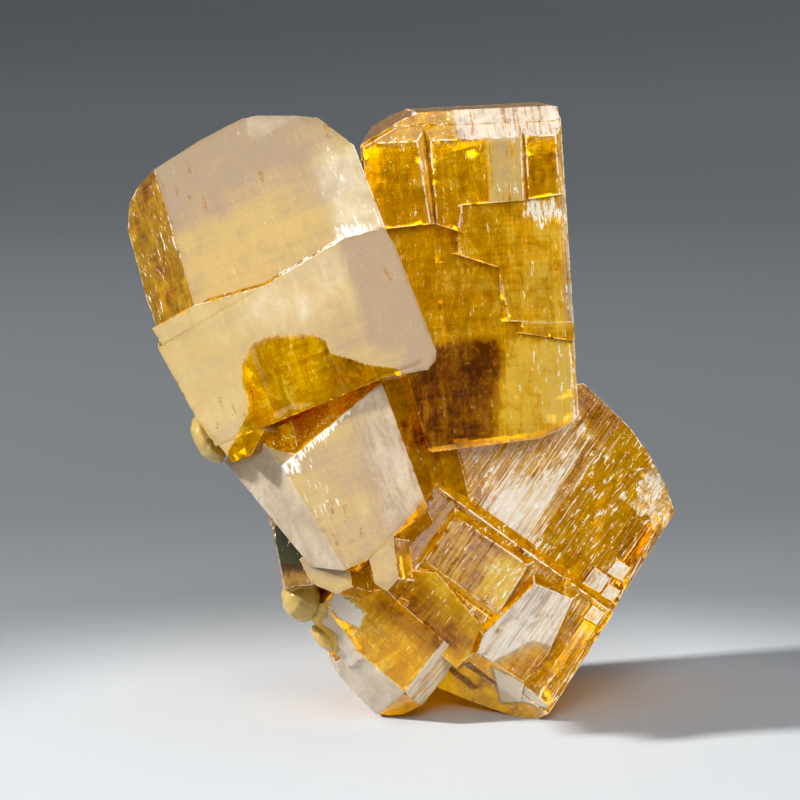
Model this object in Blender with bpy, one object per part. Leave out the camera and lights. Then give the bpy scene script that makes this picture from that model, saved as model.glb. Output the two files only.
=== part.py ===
"""Barite crystal cluster: flat-faced crystals grown together into one solid."""
import math

import bmesh
import bpy
from mathutils import Matrix, Vector

for old in list(bpy.data.objects):
    bpy.data.objects.remove(old, do_unlink=True)

# Overall scale: every length below is in millimetres and is multiplied by this.
MM = 0.001
STOCK = 160.0

# Depths of the crystals behind their front faces
UPPER_LEFT_DEPTH = 20.0
UPPER_RIGHT_DEPTH = 20.0
LITTLE_DEPTH = 17.0
LOWER_RIGHT_DEPTH = 22.0
TIP_DEPTH = 17.0

# How far one ledge stands over the next
BIG_STEP = 1.1
LEDGE = 0.8

# Puts the middle of the outline over the origin and the resting points on the floor
SHIFT = (-0.3, -1.45, 0.7)


class Axes:
    """The axes of one crystal: x across, y up and z out of its front face."""

    def __init__(self, centre, yaw, pitch, roll):
        place = Vector(centre) + Vector(SHIFT)
        turn = Matrix.Rotation(math.radians(yaw), 4, "Z")
        lean = Matrix.Rotation(math.radians(90.0 - pitch), 4, "X")
        spin = Matrix.Rotation(math.radians(roll), 4, "Z")
        self.place = Matrix.Translation(place) @ turn @ lean @ spin


UPPER_LEFT = Axes((-14.2, -15.0, 57.8), -10.0, 12.0, 22.4)
LITTLE = Axes((-6.7, -19.0, 33.1), -10.0, 12.0, 22.4)
UPPER_RIGHT = Axes((11.1, -4.0, 56.4), 5.0, 2.2, 3.5)
LOWER_RIGHT = Axes((22.5, 0.0, 20.2), 6.0, 9.5, -36.0)
TIP = Axes((-1.8, -7.0, 9.75), 8.0, 2.0, -41.0)
GROUND = Axes((4.0, -4.0, 32.0), 14.0, 5.0, 10.0)
DARK_BIT = Axes((-14.0, -10.6, 18.0), -15.0, 5.0, 0.0)
BACK_LEFT = Axes((-12.0, 9.0, 52.0), 168.0, 4.0, -19.0)
BACK_RIGHT = Axes((9.0, 18.5, 34.0), 184.0, -6.0, 24.0)
BACK_FOOT = Axes((-3.0, 16.0, 11.0), 170.0, -5.0, -33.0)


def slice_off(bm, point, outward):
    """Cuts a flat face and drops what is outside it."""
    parts = list(bm.verts) + list(bm.edges) + list(bm.faces)
    bmesh.ops.bisect_plane(bm, geom=parts, dist=1e-5, plane_co=point, plane_no=outward, clear_outer=True)
    rim = [edge for edge in bm.edges if edge.is_boundary]
    if rim:
        bmesh.ops.holes_fill(bm, edges=rim, sides=0)


def finish_mesh(bm, name, place):
    bmesh.ops.transform(bm, matrix=Matrix.Scale(MM, 4) @ place, verts=bm.verts)
    bmesh.ops.recalc_face_normals(bm, faces=bm.faces)
    mesh = bpy.data.meshes.new(name)
    bm.to_mesh(mesh)
    bm.free()
    body = bpy.data.objects.new(name, mesh)
    bpy.context.collection.objects.link(body)
    return body


def crystal(name, axes, front, back, outline, bevels=()):
    """A flat-faced block. The outline corners (x, y, lean) run anticlockwise in the front plane.
    The side from a corner to the next leans out towards the back by its angle in degrees.
    A bevel (x, y, x2, y2, lean, z) is one more face through that line."""
    bm = bmesh.new()
    bmesh.ops.create_cube(bm, size=STOCK)
    slice_off(bm, Vector((0.0, 0.0, front)), Vector((0.0, 0.0, 1.0)))
    slice_off(bm, Vector((0.0, 0.0, back)), Vector((0.0, 0.0, -1.0)))
    cuts = []
    for here, there in zip(outline, outline[1:] + outline[:1]):
        cuts.append((here[0], here[1], there[0], there[1], here[2], front))
    cuts.extend(bevels)
    for x, y, x2, y2, lean, z in cuts:
        along = Vector((x2 - x, y2 - y, 0.0)).normalized()
        angle = math.radians(lean)
        outward = Vector((along.y, -along.x, 0.0)) * math.cos(angle)
        outward.z = math.sin(angle)
        slice_off(bm, Vector((x, y, z)), outward)
    return finish_mesh(bm, name, axes.place)


def lump(name, centre, radii, yaw, pitch, roll):
    """A rounded bit, with its radii across, up and deep."""
    bm = bmesh.new()
    bmesh.ops.create_icosphere(bm, subdivisions=2, radius=1.0)
    bmesh.ops.scale(bm, vec=Vector(radii), verts=bm.verts)
    return finish_mesh(bm, name, Axes(centre, yaw, pitch, roll).place)


def combine(body, tools, operation):
    for tool in tools:
        change = body.modifiers.new(tool.name, "BOOLEAN")
        change.operation = operation
        change.solver = "EXACT"
        change.object = tool
        graph = bpy.context.evaluated_depsgraph_get()
        made = bpy.data.meshes.new_from_object(body.evaluated_get(graph))
        body.modifiers.clear()
        body.data = made
        bpy.data.objects.remove(tool, do_unlink=True)


parts = []

# Big crystal, upper left: the upper slab with its bevelled left side
parts.append(crystal(
    "upper_left_slab", UPPER_LEFT, -BIG_STEP, -UPPER_LEFT_DEPTH,
    [(-19.0, -4.0, -4), (13.9, -6.0, -9), (13.7, 14.3, -6), (10.6, 19.3, 0), (8.2, 20.5, 0),
     (3.5, 22.4, 0), (1.5, 22.8, 0), (-4.6, 22.2, 0), (-11.4, 20.9, 0), (-14.8, 20.1, 0), (-16.8, 19.0, 0),
     (-18.4, 16.1, 0), (-19.2, 6.6, 0)],
    [(-11.3, 20.6, -12.4, 2.8, 48, -BIG_STEP)]))

# Its lower slab stands proud and is wider, with a top edge that dips in the middle
STEP_LIMIT = (15.2, 4.6, -19.0, 3.8, 0, 0.0)
parts.append(crystal(
    "upper_left_lower", UPPER_LEFT, 0.0, -UPPER_LEFT_DEPTH + 1.5,
    [(-15.7, -15.0, -8), (12.4, -14.5, -8), (14.6, -13.8, -9), (14.3, 0.6, -9), (13.8, 3.1, 14),
     (8.7, 3.6, 28), (-18.4, -0.8, -3), (-16.9, -10.3, -6)], [STEP_LIMIT]))
parts.append(crystal(
    "upper_left_lower_2", UPPER_LEFT, -0.02, -4.0,
    [(-16.2, -8.0, 0), (-1.0, -8.0, 0), (-1.2, 1.5, 28), (-12.3, 2.6, 12), (-18.3, 1.9, -3)], [STEP_LIMIT]))
parts.append(crystal(
    "upper_left_corner", UPPER_LEFT, -0.04, -6.0,
    [(6.6, -14.5, -8), (12.8, -15.6, -8), (14.2, -14.8, -9), (14.55, -13.8, -9), (14.3, -8.0, 0), (6.8, -8.0, 0)]))
parts.append(crystal(
    "upper_left_tip", UPPER_LEFT, -0.03, -12.0,
    [(-14.4, -17.6, -5), (-12.0, -17.7, 5), (-9.3, -15.3, 5), (-9.0, -10.0, 0), (-16.6, -11.0, -4)]))

# Small crystal under it, with a sloping roof and a two-faced left side
parts.append(crystal(
    "little_crystal", LITTLE, 0.0, -LITTLE_DEPTH,
    [(-4.0, -9.1, 10), (-0.9, -8.8, 0), (2.9, -7.4, 10), (8.4, -4.3, -8), (8.4, 11.2, 35), (-7.2, 6.0, 58)],
    [(-14.6, 9.0, -11.1, 0.0, -6, -3.0), (-11.1, 0.0, -9.5, -6.6, -6, -3.0), (-9.6, -6.5, -4.2, -9.2, 0, -3.0)]))
parts.append(crystal(
    "little_left", LITTLE, -0.02, -8.0,
    [(-4.4, -6.4, 0), (-4.6, 6.3, 44), (-7.8, 8.6, 58)],
    [(-14.6, 9.0, -11.1, 0.0, -6, -3.0), (-4.6, 11.4, -14.6, 9.6, 0, -3.0),
     (-9.6, -6.2, -4.2, -8.8, 3, -3.0)]))
parts.append(crystal(
    "little_spike", LITTLE, -0.1, -6.0,
    [(-0.6, -7.3, 0), (-1.2, -11.9, 10), (0.0, -13.4, 10), (1.9, -12.4, 10), (3.0, -7.4, 0), (1.0, -6.0, 0)]))
parts.append(crystal(
    "little_heel", LITTLE, -2.6, -10.0,
    [(-6.6, -11.4, 10), (-4.4, -11.2, 10), (-3.0, -4.0, 0), (-9.6, -5.6, 0), (-9.2, -9.0, 0)]))

# Big upright crystal, upper right: the deepest level first, then the ledges over it
RIGHT_SIDE = (10.72, -17.0, 10.52, 20.0, 0, 0.0)
RIGHT_BEVEL = (10.1, -17.0, 9.8, 19.0, 45, 0.0)
TOP_LEFT = (-7.6, 23.0, -15.4, 19.3, 0, 0.0)
TOP_BEVEL = (10.6, 19.25, -15.3, 19.95, 48, 0.0)
parts.append(crystal(
    "upper_right_core", UPPER_RIGHT, -2.0 * LEDGE, -UPPER_RIGHT_DEPTH,
    [(-9.1, -20.4, 5), (-8.5, -20.6, -6), (5.3, -19.9, -6), (8.0, -19.0, -6), (10.8, -17.4, 2),
     (10.7, 21.3, 0), (9.9, 22.95, 0), (-7.6, 23.2, 0), (-10.0, 22.4, 0), (-15.4, 19.6, -10), (-15.4, 9.0, 0)],
    [(10.6, 19.3, -15.3, 20.0, 48, 0.0), (10.2, -17.0, 9.9, 19.0, 45, -2.0 * LEDGE)]))
parts.append(crystal(
    "upper_right_field", UPPER_RIGHT, -LEDGE, -3.0,
    [(-3.6, 4.7, 10), (1.2, 2.8, 10), (10.7, 0.0, 25), (10.7, 20.2, 0), (-3.4, 19.0, 50)],
    [RIGHT_SIDE, RIGHT_BEVEL, TOP_BEVEL]))
parts.append(crystal(
    "upper_right_field_2", UPPER_RIGHT, -LEDGE - 0.02, -3.05,
    [(2.3, -4.3, 10), (10.7, -5.0, 0), (10.7, 8.0, 0), (1.6, 8.0, 0), (1.4, 2.5, 50)],
    [RIGHT_SIDE, RIGHT_BEVEL]))
parts.append(crystal(
    "upper_right_field_3", UPPER_RIGHT, -LEDGE - 0.04, -3.1,
    [(4.0, -6.0, 10), (10.7, -7.5, 0), (10.7, 4.0, 0), (3.9, 4.0, 50)],
    [RIGHT_SIDE, RIGHT_BEVEL]))
parts.append(crystal(
    "upper_right_block_1", UPPER_RIGHT, 0.0, -3.15,
    [(-15.2, 8.7, 5), (-7.2, 9.0, 45), (-8.2, 19.7, 48), (-15.2, 19.9, 0)], [TOP_BEVEL, TOP_LEFT]))
parts.append(crystal(
    "upper_right_block_2", UPPER_RIGHT, -0.05, -3.2,
    [(-6.3, 8.9, 5), (-3.6, 7.8, 40), (-2.9, 11.2, 0), (-2.9, 19.6, 48), (-6.5, 19.7, 30)], [TOP_BEVEL]))
parts.append(crystal(
    "upper_right_block_3", UPPER_RIGHT, 0.0, -3.25,
    [(-3.4, 11.1, 5), (5.0, 11.2, 30), (5.1, 19.5, 48), (-3.4, 19.7, 0)], [TOP_BEVEL]))
parts.append(crystal(
    "upper_right_block_4", UPPER_RIGHT, -0.1, -3.3,
    [(5.7, 11.3, 5), (9.7, 11.6, 45), (9.6, 19.3, 48), (5.7, 19.4, 30)], [TOP_BEVEL, RIGHT_SIDE]))

# Slanting crystal, lower right: upper face, then the proud lower field and two blocks on it
parts.append(crystal(
    "lower_right_core", LOWER_RIGHT, 0.0, -LOWER_RIGHT_DEPTH,
    [(-21.0, -12.0, 0), (-6.6, -24.6, 0), (-0.4, -23.2, 0), (5.7, -21.4, 0), (8.0, -20.0, 0), (8.7, -18.4, -2),
     (7.8, 12.9, 0), (5.6, 14.5, 0), (0.7, 16.9, 0), (-4.0, 18.5, 0), (-12.4, 19.7, -6), (-21.0, 12.0, 0)],
    [(-20.0, -15.2, 8.1, -17.9, 36, BIG_STEP), (7.6, 2.0, 6.2, 13.2, 40, 0.0)]))
parts.append(crystal(
    "lower_right_field", LOWER_RIGHT, BIG_STEP, -2.0,
    [(-20.6, -13.2, 20), (-8.2, -16.2, 36), (7.9, -17.75, 5), (7.4, -2.9, 50), (-20.8, -2.6, 20)],
    [(7.95, -18.0, 7.3, -2.0, 6, BIG_STEP), (7.5, 0.0, -20.0, 0.0, 0, 0.0)]))
parts.append(crystal(
    "lower_right_block_1", LOWER_RIGHT, BIG_STEP + LEDGE, -1.0,
    [(-16.4, -11.5, 35), (-4.6, -11.6, 35), (-5.0, -4.2, 50), (-16.6, -4.4, 30)]))
parts.append(crystal(
    "lower_right_block_2", LOWER_RIGHT, BIG_STEP + 1.5 * LEDGE, -1.1,
    [(-4.0, -17.2, 36), (3.2, -17.0, 30), (3.7, -12.2, 30), (2.3, -4.5, 40), (-3.0, -5.7, 30), (-4.7, -15.0, 25)]))
for place, x, y, size in ((1, 3.9, -0.6, 1.3), (2, 5.6, 2.2, 1.1), (3, 6.4, -0.9, 0.9), (4, 6.0, -4.6, 1.0)):
    parts.append(crystal(
        f"lower_right_crumb_{place}", LOWER_RIGHT, 0.55 if y > -2.0 else BIG_STEP + 0.5, -1.0 - 0.1 * place,
        [(x - size, y - size, 20), (x + size, y - 0.8 * size, 20), (x + size, y + size, 25),
         (x - 0.9 * size, y + size, 20)]))

# Small crystal that stands on its tip, lower left
parts.append(crystal(
    "tip_crystal", TIP, 0.0, -TIP_DEPTH,
    [(-3.6, -6.0, 0), (-1.6, -7.3, 0), (5.3, -8.1, 0), (7.0, -7.4, 0), (8.5, -6.0, 0), (9.2, -2.7, 0),
     (8.6, 5.3, 0), (-3.6, 5.6, 0)],
    [(-6.4, -2.7, 5.2, -3.0, 40, 0.0), (5.1, -2.9, 4.7, 5.2, 45, 0.0), (2.6, -7.1, 7.8, -2.6, 35, -2.0)]))
parts.append(crystal(
    "tip_shoulder", TIP, -0.03, -TIP_DEPTH + 2.0,
    [(-9.8, -3.7, 0), (-4.7, -5.0, 0), (-2.0, -5.5, 0), (-2.0, 6.5, 0), (-5.6, 5.6, 0), (-10.8, 1.9, 10),
     (-10.9, -1.5, 0)],
    [(-10.4, -0.9, -3.2, -2.7, 42, 0.0)]))
parts.append(crystal(
    "tip_neighbour", TIP, -1.2, -12.0,
    [(-5.6, 4.0, 0), (8.6, 3.6, 20), (9.6, 9.6, 0), (-1.6, 11.6, 0), (-6.0, 8.6, 0)]))

# Brown ground in which the crystals are rooted
parts.append(crystal(
    "ground_front", GROUND, -3.0, -16.0,
    [(-10.0, -14.0, 10), (5.2, -14.0, 0), (5.0, -6.6, 0), (3.8, 13.0, 0), (-9.0, 14.0, 0), (-14.0, 4.0, 15)]))

# Crystals of the back, which nobody sees from the front
parts.append(crystal(
    "back_left", BACK_LEFT, 0.0, -12.0,
    [(-7.0, -13.0, 8), (7.0, -13.0, 8), (10.0, -8.0, 5), (9.0, 10.0, 8), (2.0, 13.0, 8), (-8.0, 11.0, 8)]))
parts.append(crystal(
    "back_right", BACK_RIGHT, 0.0, -15.0,
    [(-9.0, -10.0, 8), (7.0, -11.0, 8), (10.0, -3.0, 8), (8.0, 9.0, 8), (-6.0, 10.0, 8), (-9.0, 3.0, 8)]))
parts.append(crystal(
    "back_foot", BACK_FOOT, 0.0, -15.0,
    [(-5.0, -9.0, 2), (4.0, -10.0, 2), (6.0, -3.0, 2), (5.0, 7.0, 2), (-4.0, 7.0, 2), (-6.0, 2.0, 2)]))

# Steps on the backs of the two big crystals at the right
parts.append(crystal(
    "upper_right_back_step", UPPER_RIGHT, -10.0, -UPPER_RIGHT_DEPTH - 2.2,
    [(-7.5, -12.0, 0), (8.6, -14.0, -12), (9.0, 16.0, -12), (3.0, 20.5, -10), (-8.0, 18.0, -12)]))
parts.append(crystal(
    "lower_right_back_step", LOWER_RIGHT, -10.0, -LOWER_RIGHT_DEPTH - 1.8,
    [(-12.0, -14.0, -10), (5.0, -15.0, -12), (5.6, 4.0, -12), (1.0, 13.0, -10), (-12.0, 12.0, -12)]))

# Small bits at the left edge
parts.append(lump("pale_bit_high", (-24.7, -13.0, 38.6), (1.9, 3.6, 3.4), -10.0, 12.0, 30.0))
parts.append(lump("pale_bit_low", (-13.3, -6.0, 16.4), (2.7, 3.3, 3.4), 5.0, 10.0, 10.0))
parts.append(lump("pale_bit_last", (-10.6, -4.6, 10.8), (1.0, 2.2, 2.4), 5.0, 0.0, 40.0))
parts.append(crystal(
    "dark_bit", DARK_BIT, 0.0, -8.0,
    [(-1.4, 0.6, 10), (3.5, 1.5, 0), (4.0, 9.0, 0), (-2.3, 9.6, 20), (-2.95, 8.4, 30), (-2.8, 6.8, 20)]))

cluster = parts[0]
cluster.name = "barite_cluster"
combine(cluster, parts[1:], "UNION")

# Broken corner of the slanting crystal
corner = LOWER_RIGHT.place @ Vector((3.8, 14.0, 0.5)) - Vector(SHIFT)
combine(cluster, [lump("chip", corner, (4.0, 2.5, 1.2), 6.0, 9.5, -44.0)], "DIFFERENCE")

# Flat rest: everything under the floor plane is cut away
below = bpy.data.meshes.new("below")
bm = bmesh.new()
bmesh.ops.create_cube(bm, size=STOCK * MM)
bmesh.ops.translate(bm, vec=Vector((0.0, 0.0, -STOCK * MM / 2.0)), verts=bm.verts)
bm.to_mesh(below)
bm.free()
floor_cut = bpy.data.objects.new("below", below)
bpy.context.collection.objects.link(floor_cut)
combine(cluster, [floor_cut], "DIFFERENCE")

amber = bpy.data.materials.new("amber")
amber.use_nodes = True
shader = amber.node_tree.nodes["Principled BSDF"]
shader.inputs["Base Color"].default_value = (0.62, 0.36, 0.05, 1.0)
shader.inputs["Roughness"].default_value = 0.12
shader.inputs["Metallic"].default_value = 0.0
cluster.data.materials.clear()
cluster.data.materials.append(amber)
cluster.data.name = "barite_cluster"
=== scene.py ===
import math
import bmesh
import bpy
import numpy as np
from mathutils import Matrix, Vector, noise
from mathutils.geometry import delaunay_2d_cdt


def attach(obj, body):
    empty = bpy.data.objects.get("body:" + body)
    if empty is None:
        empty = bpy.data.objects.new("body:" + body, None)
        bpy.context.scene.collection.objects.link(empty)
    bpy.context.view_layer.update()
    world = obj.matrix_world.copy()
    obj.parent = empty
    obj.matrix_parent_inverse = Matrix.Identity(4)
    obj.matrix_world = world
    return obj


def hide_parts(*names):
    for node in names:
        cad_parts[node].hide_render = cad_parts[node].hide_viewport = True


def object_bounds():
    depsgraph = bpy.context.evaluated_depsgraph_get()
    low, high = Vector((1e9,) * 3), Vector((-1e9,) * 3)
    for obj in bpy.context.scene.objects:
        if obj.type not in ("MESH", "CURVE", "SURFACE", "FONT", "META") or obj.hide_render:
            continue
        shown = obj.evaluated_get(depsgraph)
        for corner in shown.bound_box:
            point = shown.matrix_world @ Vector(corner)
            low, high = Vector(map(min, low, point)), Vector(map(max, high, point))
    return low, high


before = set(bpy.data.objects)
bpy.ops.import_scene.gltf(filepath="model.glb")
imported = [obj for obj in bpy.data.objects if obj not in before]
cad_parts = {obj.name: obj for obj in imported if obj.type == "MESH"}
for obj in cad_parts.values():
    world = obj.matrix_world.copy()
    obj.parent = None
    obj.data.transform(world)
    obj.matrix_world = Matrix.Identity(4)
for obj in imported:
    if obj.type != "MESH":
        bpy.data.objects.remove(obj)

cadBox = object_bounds()
mm = 0.001
print("frame loaded:", sorted(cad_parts))


# The axes of each crystal: x across, y up and z out of its front face, in millimetres
shift = (-0.3, -1.45, 0.7)
crystals = {
    "upperLeft": {"centre": (-14.2, -15.0, 57.8), "turn": (-10.0, 12.0, 22.4),
                  "low": (-20, -19, -21), "high": (16, 24, 1),
                  "slopes": {"leftBevel": (-0.668, 0.041, 0.743), "step": (0.0, 0.9, 0.436)}},
    "little": {"centre": (-6.7, -19.0, 33.1), "turn": (-10.0, 12.0, 22.4),
               "low": (-15, -14, -18), "high": (9, 12, 1),
               "slopes": {"roof": (-0.259, 0.777, 0.574), "leftFace": (-0.518, -0.11, 0.848),
                          "cut": (0.42, 0.58, 0.69)}},
    "upperRight": {"centre": (11.1, -4.0, 56.4), "turn": (5.0, 2.2, 3.5),
                   "low": (-16, -21, -23), "high": (11, 24, 1),
                   "slopes": {"topBevel": (0.018, 0.669, 0.743), "rightBevel": (0.707, 0.0, 0.707)}},
    "lowerRight": {"centre": (22.5, 0.0, 20.2), "turn": (6.0, 9.5, -36.0),
                   "low": (-21.5, -25, -24), "high": (9, 20, 3),
                   "slopes": {"bottomBevel": (-0.078, -0.805, 0.588), "rim": (0.76, 0.095, 0.643),
                              "ridge": (0.007, 0.643, 0.766)}},
    "tip": {"centre": (-1.8, -7.0, 9.75), "turn": (8.0, 2.0, -41.0),
            "low": (-11, -9, -18), "high": (10, 12, 1),
            "slopes": {"leftBevel": (-0.1, -0.745, 0.655), "rightBevel": (0.707, 0.035, 0.707),
                       "tipFace": (0.536, -0.619, 0.574)}},
    "ground": {"centre": (4.0, -4.0, 32.0), "turn": (14.0, 5.0, 10.0),
               "low": (-15, -17, -17), "high": (6, 15, -2.5)},
    "backLeft": {"centre": (-12.0, 9.0, 52.0), "turn": (168.0, 4.0, -19.0),
                 "low": (-8, -14, -12), "high": (11, 14, 0.5)},
    "backRight": {"centre": (9.0, 18.5, 34.0), "turn": (184.0, -6.0, 24.0),
                  "low": (-10, -12, -15), "high": (11, 11, 0.5)},
    "backFoot": {"centre": (-3.0, 16.0, 11.0), "turn": (170.0, -5.0, -33.0),
                 "low": (-7, -11, -15), "high": (7, 8, 0.5)},
    "darkBit": {"centre": (-14.0, -10.6, 18.0), "turn": (-15.0, 5.0, 0.0),
                "low": (-3.3, 0.3, -8.2), "high": (4.2, 9.9, 0.2)},
}
names = list(crystals)


def placeOf(crystal):
    yaw, pitch, roll = crystal["turn"]
    place = Vector(crystal["centre"]) + Vector(shift)
    return (Matrix.Translation(place) @ Matrix.Rotation(math.radians(yaw), 4, "Z")
            @ Matrix.Rotation(math.radians(90.0 - pitch), 4, "X")
            @ Matrix.Rotation(math.radians(roll), 4, "Z"))


for crystal in crystals.values():
    place = np.array(placeOf(crystal))
    crystal["axes"] = place[:3, :3]
    crystal["origin"] = place[:3, 3]
    crystal.setdefault("slopes", {}).update(
        {"front": (0.0, 0.0, 1.0), "above": (0.0, 1.0, 0.0), "below": (0.0, -1.0, 0.0)})


def toCrystal(name, points):
    return (points - crystals[name]["origin"]) @ crystals[name]["axes"]


def smooth(low, high, value):
    t = np.clip((value - low) / (high - low), 0.0, 1.0)
    return t * t * (3.0 - 2.0 * t)


def speckle(points, scale, seed=0.0):
    # soft noise from -1 to 1 at each point
    sx, sy, sz = scale if isinstance(scale, tuple) else (scale,) * 3
    return np.array([noise.noise(Vector((p[0] * sx + seed, p[1] * sy - seed, p[2] * sz + 7.1 * seed)))
                     for p in points.tolist()])


def gapTo(points, a, b):
    # distance from each point to the line piece a-b
    a, b = np.asarray(a, float), np.asarray(b, float)
    along = b - a
    t = np.clip(((points - a) @ along) / max(along @ along, 1e-12), 0.0, 1.0)
    return np.linalg.norm(points - a - t[:, None] * along, axis=1)


def insideDepth(points, outline):
    # how far each point lies inside a closed outline, negative outside it
    outline = np.asarray(outline, float)
    best = np.full(len(points), 1e9)
    inside = np.zeros(len(points), bool)
    for a, b in zip(outline, np.roll(outline, -1, axis=0)):
        best = np.minimum(best, gapTo(points, a, b))
        crosses = (a[1] > points[:, 1]) != (b[1] > points[:, 1])
        with np.errstate(divide="ignore", invalid="ignore"):
            x = a[0] + (points[:, 1] - a[1]) / (b[1] - a[1]) * (b[0] - a[0])
        inside ^= crosses & (points[:, 0] < x)
    return np.where(inside, best, -best)


# The net: every flat face of the solid gets an even mesh of small triangles
net = {
    "front": 0.42,        # mm between points on faces turned to the front
    "striated": 0.32,     # on the slanting crystal's striated front
    "side": 0.85,
    "back": 1.2,
    "edgeRow": 0.17,      # the row of points beside each edge
    "weld": 0.08,         # steps lower than this are closed
    "jitter": 0.18,
    "seed": 5,
    "sharpFrom": 24,      # degrees, edges turned more than this stay sharp
    "farGap": 5.0,        # mm, the gap given where no edge is near
    "levelReach": 0.22,   # mm, how far a face may be from the level that a rule names
    "milkAndGlareReach": 4.0,     # mm, beyond it the distance to the end of the cream layer, which is partly painted reflection, no longer matters
}

# Small cracks and nicks in the front faces: x, y, x2, y2 and the height of the face
nicks = {
    "upperLeft": [
        (-9.3, 18.0, -9.6, 16.6, -1.1), (-8.2, 16.3, -8.3, 14.7, -1.1), (-6.6, 15.4, -7.0, 13.4, -1.1),
        (1.5, 15.7, 1.1, 14.2, -1.1), (-7.0, 20.4, -7.2, 18.5, -1.1), (11.1, 18.1, 11.1, 16.3, -1.1),
        (-13.1, -9.5, -13.3, -10.8, 0.0), (-11.9, -10.9, -12.1, -12.3, 0.0), (12.1, -1.8, 12.2, -4.1, 0.0),
        (-17.2, -13.1, -16.7, -14.3, 0.0), (-10.9, -12.6, -11.0, -13.5, 0.0),
        (-14.4, -12.2, -14.5, -13.1, 0.0)],
    "little": [
        (-2.9, -0.2, -3.2, -2.8, 0.0), (-1.3, -1.5, -2.1, -3.8, 0.0), (-2.0, -5.9, -3.1, -8.2, 0.0),
        (-3.8, -4.5, -3.9, -6.2, 0.0), (-0.4, -4.9, -0.6, -6.0, 0.0)],
    "lowerRight": [
        (1.2, -7.9, 0.5, -8.6, 2.3), (-3.4, -13.3, -3.6, -13.9, 2.3)],
}


def facetsOf(node):
    bm = bmesh.new()
    bm.from_mesh(node.data)
    bmesh.ops.scale(bm, vec=(1.0 / mm,) * 3, verts=bm.verts)
    for weld, bend in ((1e-4, 0.4), (net["weld"], 0.6)):
        bmesh.ops.remove_doubles(bm, verts=bm.verts, dist=weld)
        bmesh.ops.dissolve_limit(bm, angle_limit=math.radians(bend), verts=bm.verts, edges=bm.edges)
    bmesh.ops.recalc_face_normals(bm, faces=bm.faces)
    bm.verts.ensure_lookup_table()
    bm.edges.ensure_lookup_table()
    bm.faces.ensure_lookup_table()
    bm.normal_update()
    print("facets:", len(bm.faces), "open edges:", sum(1 for e in bm.edges if len(e.link_faces) != 2))
    return bm


def ownerOf(centre, normal):
    best, owner = -1e9, 0
    for index, crystal in enumerate(crystals.values()):
        local = (centre - crystal["origin"]) @ crystal["axes"]
        out = np.maximum(np.maximum(crystal["low"] - local, local - crystal["high"]), 0.0).sum()
        turned = normal @ crystal["axes"]
        fit = max(np.abs(turned).max(), max(turned @ np.array(way) for way in crystal["slopes"].values()))
        score = fit - 0.15 * out
        if score > best + 1e-6:
            best, owner = score, index
    return owner


def nicksOn(name, centre, normal):
    # the nicks that lie on this face, as pairs of points
    if name not in nicks or normal @ crystals[name]["axes"][:, 2] < 0.995:
        return []
    height = toCrystal(name, centre[None])[0, 2]
    found = []
    for x, y, x2, y2, z in nicks[name]:
        if abs(z - height) < 0.2:
            ends = np.array([(x, y, height), (x2, y2, height)])
            found.append(ends @ crystals[name]["axes"].T + crystals[name]["origin"])
    return found


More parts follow.
